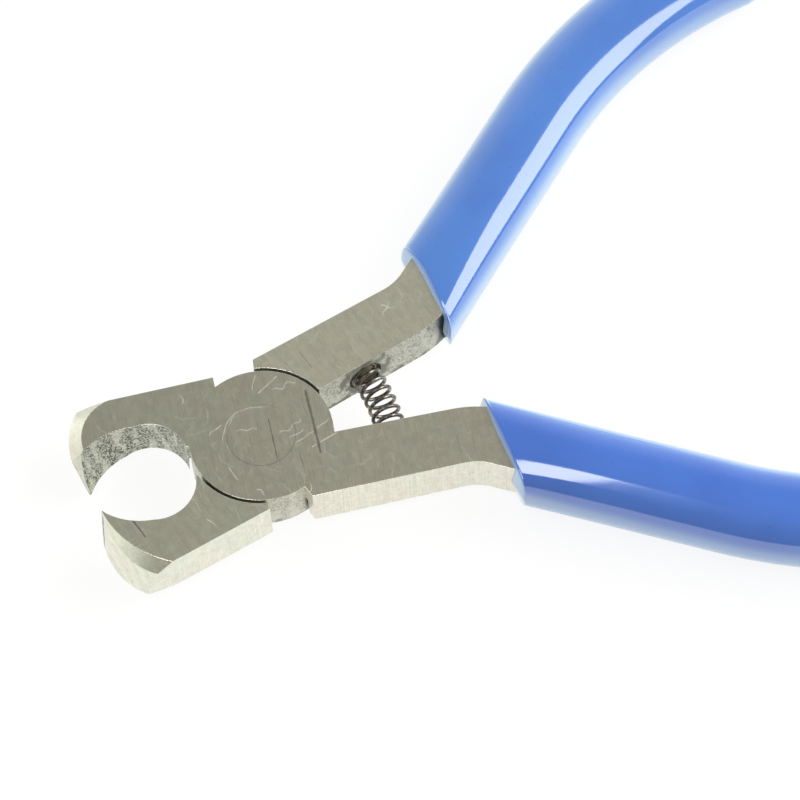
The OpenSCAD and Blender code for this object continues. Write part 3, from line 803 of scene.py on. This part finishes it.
    placeX = addUp(
        product(given["Arm"], openCos), product(product(given["Arm middle"], openSin), -1),
        product(straight, startCos),
        product(given["Bow"], calc(tree, "ADD", startSin, headSin)),
        product(past, headCos), product(product(x, headSin), -1),
    )
    placeY = addUp(
        product(product(given["Arm"], openSin), -1), product(product(given["Arm middle"], openCos), -1),
        product(product(straight, startSin), -1),
        product(given["Bow"], calc(tree, "SUBTRACT", startCos, headCos)),
        product(past, headSin), product(x, headCos),
    )
    place = addNode(tree, "ShaderNodeCombineXYZ", {
        "X": placeX, "Y": product(placeY, given["Side"]), "Z": calc(tree, "ADD", given["Height"], y),
    }).outputs[0]
    return addNode(tree, "GeometryNodeSetPosition", {"Geometry": grid, "Position": place}).outputs[0]


def makeSleeveTree():
    lengths = ("Arm", "Arm middle", "Straight", "Bow", "Half width", "Half thick", "Offset", "Lip",
               "Mouth past", "Mouth bow", "Outer creep", "Inner creep", "Mouth width", "Mouth thick",
               "Thin by", "Fill run", "Bore width", "Bore thick", "Height")
    numbers = ("Flare", "Open", "Bow angle", "Mouth tilt", "Square", "Square by", "Mouth square",
               "Bore square", "Side")
    inputs = {name: "Float" for name in lengths + numbers}
    inputs.update({"Rings": "Int", "Sides": "Int", "Plastic": "Material"})
    tree, given, result = newGroup("GeometryNodeTree", "dippedSleeve", inputs, {"Geometry": "Geometry"})
    skins = [sleeveSkin(tree, given, inner) for inner in (False, True)]
    joined = addNode(tree, "GeometryNodeJoinGeometry")
    for skin in skins:
        tree.links.new(skin, joined.inputs[0])
    closed = addNode(tree, "GeometryNodeMergeByDistance",
                     {"Geometry": joined.outputs[0], "Distance": grip["weld"] * mm})
    finishTree(tree, result, closed.outputs[0], given["Plastic"])
    return tree


sleeveTree = makeSleeveTree()


def makeGrip(name, node, body, side, creep, blue):
    piece = shapeByNodes(name, sleeveTree, {
        "Arm": grip["arm"] * mm, "Arm middle": grip["armMiddle"] * mm, "Straight": grip["straight"] * mm,
        "Bow": grip["bow"] * mm, "Half width": grip["halfWide"] * mm, "Half thick": grip["halfThick"] * mm,
        "Offset": grip["offset"] * mm, "Lip": grip["lip"] * mm,
        "Mouth past": grip["mouthPast"] * mm, "Mouth bow": grip["mouthBow"] * mm,
        "Outer creep": creep[0] * mm, "Inner creep": creep[1] * mm,
        "Mouth width": grip["mouthWide"] * mm, "Mouth thick": grip["mouthThick"] * mm,
        "Mouth square": float(grip["mouthSquare"]), "Thin by": grip["thinBy"] * mm,
        "Square by": grip["squareBy"], "Fill run": grip["fillRun"] * mm, "Bore width": grip["boreWide"] * mm,
        "Bore thick": grip["boreThick"] * mm, "Height": midHeight * mm,
        "Flare": math.radians(grip["flare"]), "Open": halfAngle, "Bow angle": math.radians(grip["bowAngle"]),
        "Mouth tilt": math.radians(grip["mouthTilt"]), "Square": grip["square"],
        "Bore square": float(grip["boreSquare"]), "Side": float(side),
        "Rings": grip["rings"], "Sides": grip["sides"], "Plastic": makeGripPlastic(name + "Plastic", blue),
    })
    mesh = bmesh.new()
    mesh.from_mesh(piece.data)
    bmesh.ops.recalc_face_normals(mesh, faces=mesh.faces)
    mesh.to_mesh(piece.data)
    mesh.free()
    piece.data.set_sharp_from_angle(angle=math.radians(grip["sharpFrom"]))
    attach(piece, body)
    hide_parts(node)


makeGrip("frontGrip", "front_grip", "front", 1, grip["frontCreep"], grip["frontBlue"])
makeGrip("rearGrip", "rear_grip", "rear", -1, grip["rearCreep"], grip["rearBlue"])
print("grips made")


# Floor, lamps and camera

studio = {
    "floorSize": 3000,
    "floorColour": (0.92, 0.92, 0.92, 1),
    "seenColour": (0.16, 0.16, 0.16, 1),  # of the floor under the camera's and the reflections' rays
    "seenGlow": 0.88,  # what lifts that to white, with the object's shadow left in it
    "world": (0.275, 0.273, 0.242, 1),
    "wall": (0.85, 0.85, 0.82, 1),  # the paler world low behind the object
    "wallWay": (0.17, 0.98, 0.0),
    "wallFrom": 0.48,  # how near to that way the paler world starts
}
lamps = {
    "topLamp": {"aim": (22.7, -12.4, 7.8), "azimuth": -168, "height": 72, "away": 620, "roll": -57,
                "wide": 350, "tall": 120, "glow": 4.2},
    "window": {"aim": (33, 12, 7.5), "azimuth": -8, "height": 35, "away": 520, "roll": 0, "wide": 600,
               "tall": 440, "glow": 3.2},
    "leftCard": {"aim": (20, 0, 3), "azimuth": 155, "height": 22, "away": 500, "roll": 0, "wide": 900,
                 "tall": 400, "glow": 0.75},
}
camera = {
    "place": (-57.138, -234.757, 459.890),
    "turn": (28.2659, 2.0982, -21.8681),
    "lens": 180,
    "clipStart": 10,
}


def makeFloor():
    size = studio["floorSize"] / 2 * mm
    z = lowest * mm
    data = bpy.data.meshes.new("floor")
    corners = [(-size, -size, z), (size, -size, z), (size, size, z), (-size, size, z)]
    data.from_pydata(corners, [], [(0, 1, 2, 3)])
    material, tree, _ = newMaterial("paleFloor")
    tree.nodes.remove(tree.nodes["Principled BSDF"])
    ray = addNode(tree, "ShaderNodeLightPath").outputs
    seen = calc(tree, "MAXIMUM", ray["Is Camera Ray"], ray["Is Glossy Ray"])
    colour = mixColour(tree, seen, studio["floorColour"], studio["seenColour"])
    lift = calc(tree, "MULTIPLY", seen, studio["seenGlow"])
    matte = addNode(tree, "ShaderNodeBsdfDiffuse", {"Color": colour}).outputs[0]
    glow = addNode(tree, "ShaderNodeEmission", {"Color": (1, 1, 1, 1), "Strength": lift}).outputs[0]
    both = addNode(tree, "ShaderNodeAddShader", {0: matte, 1: glow}).outputs[0]
    feed(tree, tree.nodes["Material Output"].inputs["Surface"], both)
    data.materials.append(material)
    floor = bpy.data.objects.new("floor", data)
    scene.collection.objects.link(floor)


def makeWorld():
    world = bpy.data.worlds.new("studio")
    world.use_nodes = True
    tree = world.node_tree
    way = addNode(tree, "ShaderNodeTexCoord").outputs["Generated"]
    facing = vectorCalc(tree, "DOT_PRODUCT", way, studio["wallWay"])
    colour = mixColour(tree, step(tree, facing, studio["wallFrom"], 1.0), studio["world"], studio["wall"])
    feed(tree, tree.nodes["Background"].inputs["Color"], colour)
    scene.world = world


def makeLamp(name, lamp):
    azimuth = math.radians(lamp["azimuth"])
    height = math.radians(lamp["height"])
    level = math.cos(height)
    way = Vector((math.cos(azimuth) * level, math.sin(azimuth) * level, math.sin(height)))
    data = bpy.data.lights.new(name, "AREA")
    data.shape = "RECTANGLE"
    data.size = lamp["wide"] * mm
    data.size_y = lamp["tall"] * mm
    data.energy = lamp["glow"] * math.pi * data.size * data.size_y  # watts that give the lamp that radiance
    light = bpy.data.objects.new(name, data)
    light.location = (Vector(lamp["aim"]) + way * lamp["away"]) * mm
    light.rotation_mode = "QUATERNION"
    roll = Quaternion((0, 0, 1), math.radians(lamp["roll"]))
    light.rotation_quaternion = way.to_track_quat("Z", "Y") @ roll
    light.visible_camera = False
    scene.collection.objects.link(light)


def makeCamera():
    data = bpy.data.cameras.new("camera")
    data.lens = camera["lens"]
    data.clip_start = camera["clipStart"] * mm
    view = bpy.data.objects.new("camera", data)
    view.location = Vector(camera["place"]) * mm
    view.rotation_euler = [math.radians(a) for a in camera["turn"]]
    scene.collection.objects.link(view)
    scene.camera = view


makeFloor()
makeWorld()
for lampName, lampValues in lamps.items():
    makeLamp(lampName, lampValues)
makeCamera()
print("studio made")
